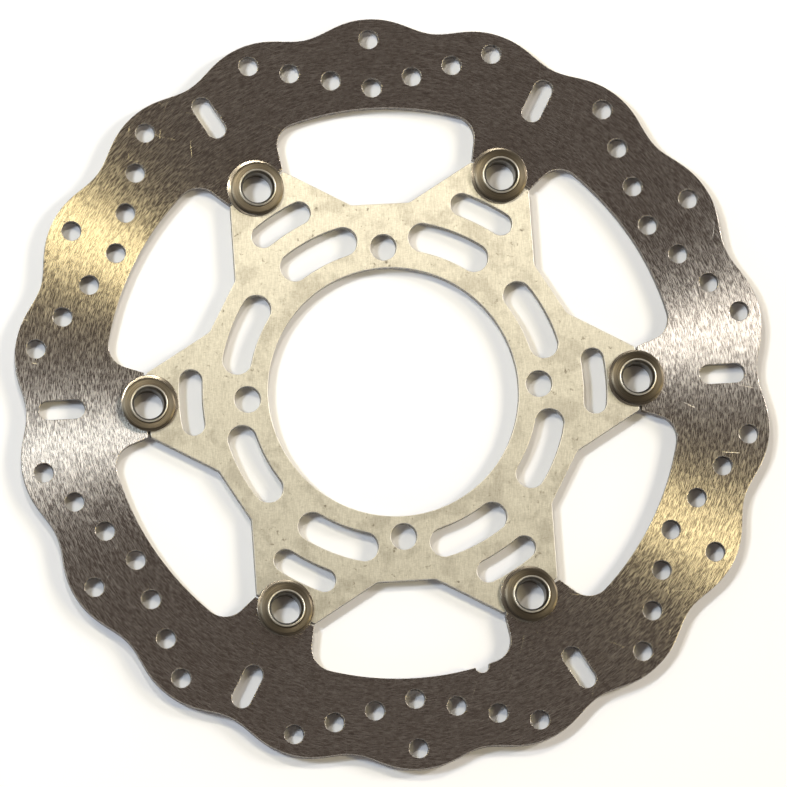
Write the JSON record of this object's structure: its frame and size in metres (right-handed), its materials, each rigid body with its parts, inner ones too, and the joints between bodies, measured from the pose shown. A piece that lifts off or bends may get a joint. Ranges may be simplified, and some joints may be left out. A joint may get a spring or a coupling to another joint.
{
  "type": "floating brake disc",
  "caption": "Floating brake disc: a wavy-edged, drilled steel rotor ring on a star-shaped aluminium carrier, joined by hollow sprung buttons.",
  "frame": {"origin": "on the disc's axis, at the plane that the button heads rest on", "axes": "+Z along the disc's axis, towards the sprung side of the buttons; +X through a button and a bolt hole; +Y completes the frame"},
  "size_m": [0.2668, 0.27, 0.0091],
  "materials": {
    "rotor_steel": "ground dark stainless steel with fine marks that follow the ring",
    "carrier_aluminium": "finely brushed, pale champagne",
    "bobbin_steel": "bright turned steel",
    "washer_steel": "turned steel, slightly brown",
    "spring_steel": "polished spring steel"
  },
  "bodies": {
    "carrier": {"carrier": "carrier_aluminium"},
    "rotor": {"rotor_ring": "rotor_steel"},
    "button_1": {"button_1_bobbin": "bobbin_steel", "button_1_plate_washer": "washer_steel", "button_1_wave_spring": "spring_steel"},
    "button_2": {"button_2_bobbin": "bobbin_steel", "button_2_plate_washer": "washer_steel", "button_2_wave_spring": "spring_steel"},
    "button_3": {"button_3_bobbin": "bobbin_steel", "button_3_plate_washer": "washer_steel", "button_3_wave_spring": "spring_steel"},
    "button_4": {"button_4_bobbin": "bobbin_steel", "button_4_plate_washer": "washer_steel", "button_4_wave_spring": "spring_steel"},
    "button_5": {"button_5_bobbin": "bobbin_steel", "button_5_plate_washer": "washer_steel", "button_5_wave_spring": "spring_steel"},
    "button_6": {"button_6_bobbin": "bobbin_steel", "button_6_plate_washer": "washer_steel", "button_6_wave_spring": "spring_steel"}
  },
  "joints": [
    {"name": "rotor_float", "type": "slide", "parent": "carrier", "child": "rotor", "axis": [0, 0, 1], "range_m": [0, 0.0004], "stiffness_N_per_m": 4000, "springref_m": -0.0025, "deforming": ["button_1_wave_spring", "button_2_wave_spring", "button_3_wave_spring", "button_4_wave_spring", "button_5_wave_spring", "button_6_wave_spring"]},
    {"name": "button_1_spin", "type": "hinge", "parent": "carrier", "child": "button_1", "pos_m": [0.0872, 0, 0], "axis": [0, 0, 1], "continuous": true},
    {"name": "button_2_spin", "type": "hinge", "parent": "carrier", "child": "button_2", "pos_m": [0.0436, 0.07552, 0], "axis": [0, 0, 1], "continuous": true},
    {"name": "button_3_spin", "type": "hinge", "parent": "carrier", "child": "button_3", "pos_m": [-0.0436, 0.07552, 0], "axis": [0, 0, 1], "continuous": true},
    {"name": "button_4_spin", "type": "hinge", "parent": "carrier", "child": "button_4", "pos_m": [-0.0872, 0, 0], "axis": [0, 0, 1], "continuous": true},
    {"name": "button_5_spin", "type": "hinge", "parent": "carrier", "child": "button_5", "pos_m": [-0.0436, -0.07552, 0], "axis": [0, 0, 1], "continuous": true},
    {"name": "button_6_spin", "type": "hinge", "parent": "carrier", "child": "button_6", "pos_m": [0.0436, -0.07552, 0], "axis": [0, 0, 1], "continuous": true}
  ]
}
